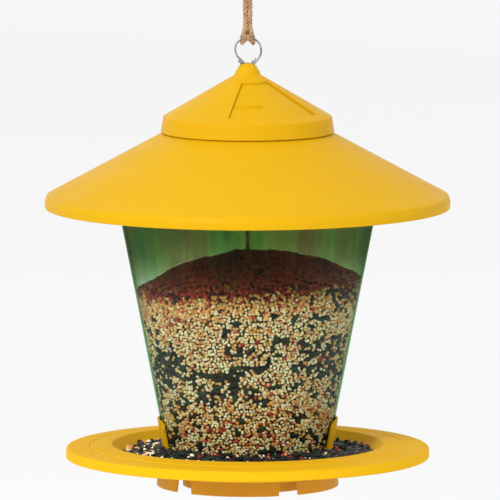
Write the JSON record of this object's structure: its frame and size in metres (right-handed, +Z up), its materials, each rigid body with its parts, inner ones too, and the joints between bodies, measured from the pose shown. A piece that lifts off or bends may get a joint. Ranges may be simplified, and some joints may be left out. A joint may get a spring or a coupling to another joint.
{
  "type": "hanging hopper bird feeder",
  "caption": "Hanging seed feeder: a clear tapered hopper under a wide conical roof with a turning fill shutter, over a round perch tray, hung by a wire ring and rope.",
  "frame": {"origin": "inside top of the rope's loop, where it bears on its hook", "axes": "+Z up along the feeder's axis, -Y to the front, +X to the right as seen from the front"},
  "size_m": [0.3244, 0.3244, 0.443],
  "materials": {
    "jute_rope": "rough natural fibre",
    "zinc_steel": "bright zinc",
    "yellow_plastic": "satin gloss moulded",
    "clear_green_plastic": "clear, green tinted",
    "mixed_seed": "loose millet and milo",
    "sunflower_seed": "loose sunflower seed"
  },
  "bodies": {
    "hanger": {"hanging_rope": "jute_rope", "rope_hitch": "jute_rope", "rope_knot": "jute_rope"},
    "ring": {"hanging_ring": "zinc_steel"},
    "feeder": {"center_rod": "zinc_steel", "roof_cap": "yellow_plastic", "shutter_retainer": "zinc_steel", "roof": "yellow_plastic", "hopper": "clear_green_plastic", "tray": "yellow_plastic", "seed_cone": "yellow_plastic", "hopper_clip_left": "yellow_plastic", "hopper_clip_right": "yellow_plastic", "foot_ring": "yellow_plastic", "foot_screws": "zinc_steel", "clip_screws": "zinc_steel", "upper_washer": "zinc_steel", "upper_nut": "zinc_steel", "tray_washer": "zinc_steel", "seed_heap": "mixed_seed", "seed_in_tray": "sunflower_seed"},
    "shutter": {"fill_shutter": "yellow_plastic"},
    "wing_nut": {"wing_nut": "zinc_steel"}
  },
  "joints": [
    {"name": "ring_swing", "type": "hinge", "parent": "hanger", "child": "ring", "pos_m": [0, 0, -0.0786], "axis": [1, 0, 0], "range_deg": [-30, 30]},
    {"name": "feeder_swing", "type": "hinge", "parent": "ring", "child": "feeder", "pos_m": [0, 0, -0.1021], "axis": [1, 0, 0], "range_deg": [-40, 40]},
    {"name": "shutter_turn", "type": "hinge", "parent": "feeder", "child": "shutter", "pos_m": [0, 0, -0.139], "axis": [0, 0, 1], "range_deg": [0, 46]},
    {"name": "wing_nut_turn", "type": "hinge", "parent": "feeder", "child": "wing_nut", "pos_m": [0, 0, -0.42855], "axis": [0, 0, 1], "continuous": true}
  ]
}
